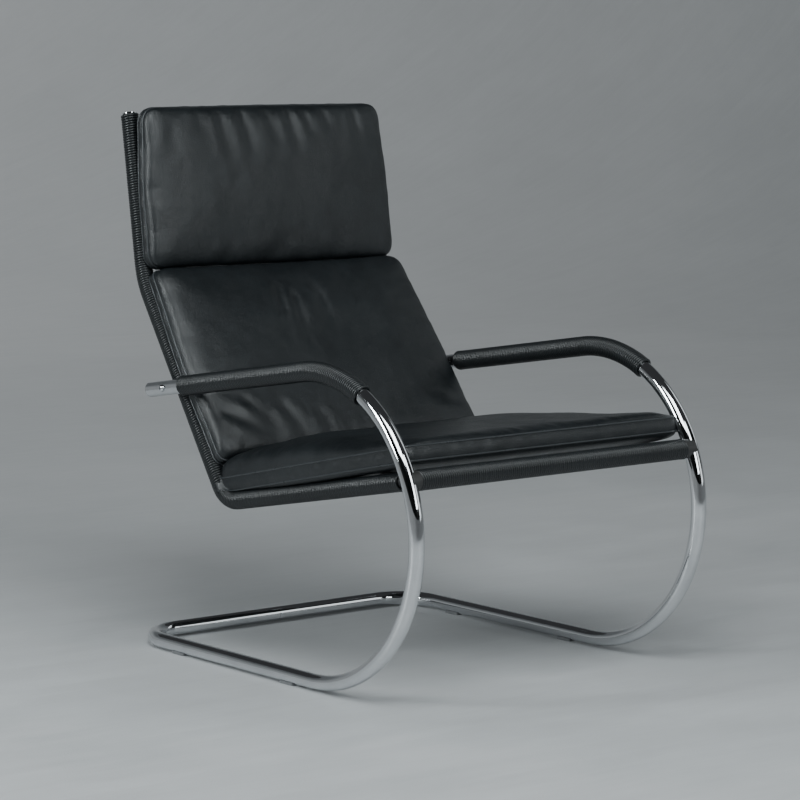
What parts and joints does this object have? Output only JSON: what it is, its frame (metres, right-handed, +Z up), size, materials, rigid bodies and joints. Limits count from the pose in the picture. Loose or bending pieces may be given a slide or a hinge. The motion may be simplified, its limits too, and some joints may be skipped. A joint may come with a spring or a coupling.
{
  "type": "cantilever lounge chair",
  "caption": "High-backed cantilever lounge chair with a bent chromed tube frame, leather-wound arms and separate leather seat, back and head cushions.",
  "frame": {"origin": "on the floor, under the middle of the chair's bounding box", "axes": "+Z up from the floor, +X towards the sitter's left hand, -Y the way the sitter faces"},
  "size_m": [0.6254, 0.8687, 0.8932],
  "materials": {
    "chrome": "polished",
    "steel": "satin",
    "rivet_steel": "satin",
    "painted_steel": "satin",
    "leather_cord": "satin",
    "leather": "satin",
    "foam": "matte",
    "webbing": "matte",
    "black_plastic": "matte",
    "grey_plastic": "satin",
    "black_saddle": "satin"
  },
  "bodies": {
    "root": {"arm_bolt_washers": "chrome", "arm_bolts": "chrome", "arm_end_caps": "chrome", "arm_nuts": "chrome", "arm_spacers": "chrome", "arm_winding_left": "leather_cord", "arm_winding_right": "leather_cord", "back_cushion_core": "foam", "back_cushion_cover": "leather", "back_strap_1": "webbing", "back_strap_2": "webbing", "back_strap_3": "webbing", "back_strap_4": "webbing", "floor_glides": "grey_plastic", "frame_joint_screws": "steel", "frame_joint_sleeve": "steel", "frame_tube_left": "chrome", "frame_tube_right": "chrome", "front_bar": "steel", "front_bar_plugs": "black_plastic", "front_bar_winding": "leather_cord", "front_rivet_nuts": "steel", "front_saddles": "black_saddle", "front_studs": "steel", "head_cushion_core": "foam", "head_cushion_cover": "leather", "head_strap_1": "webbing", "head_strap_2": "webbing", "head_strap_3": "webbing", "heel_rod": "painted_steel", "nape_rod": "painted_steel", "nape_rod_collars": "chrome", "rail_end_caps": "chrome", "rail_winding_left": "leather_cord", "rail_winding_right": "leather_cord", "seat_cushion_core": "foam", "seat_cushion_cover": "leather", "seat_strap_1": "webbing", "seat_strap_2": "webbing", "seat_strap_3": "webbing", "seat_strap_4": "webbing", "side_rail_left": "painted_steel", "side_rail_right": "painted_steel", "strap_lugs_left": "painted_steel", "strap_lugs_right": "painted_steel", "strap_rivets": "rivet_steel"}
  },
  "joints": []
}
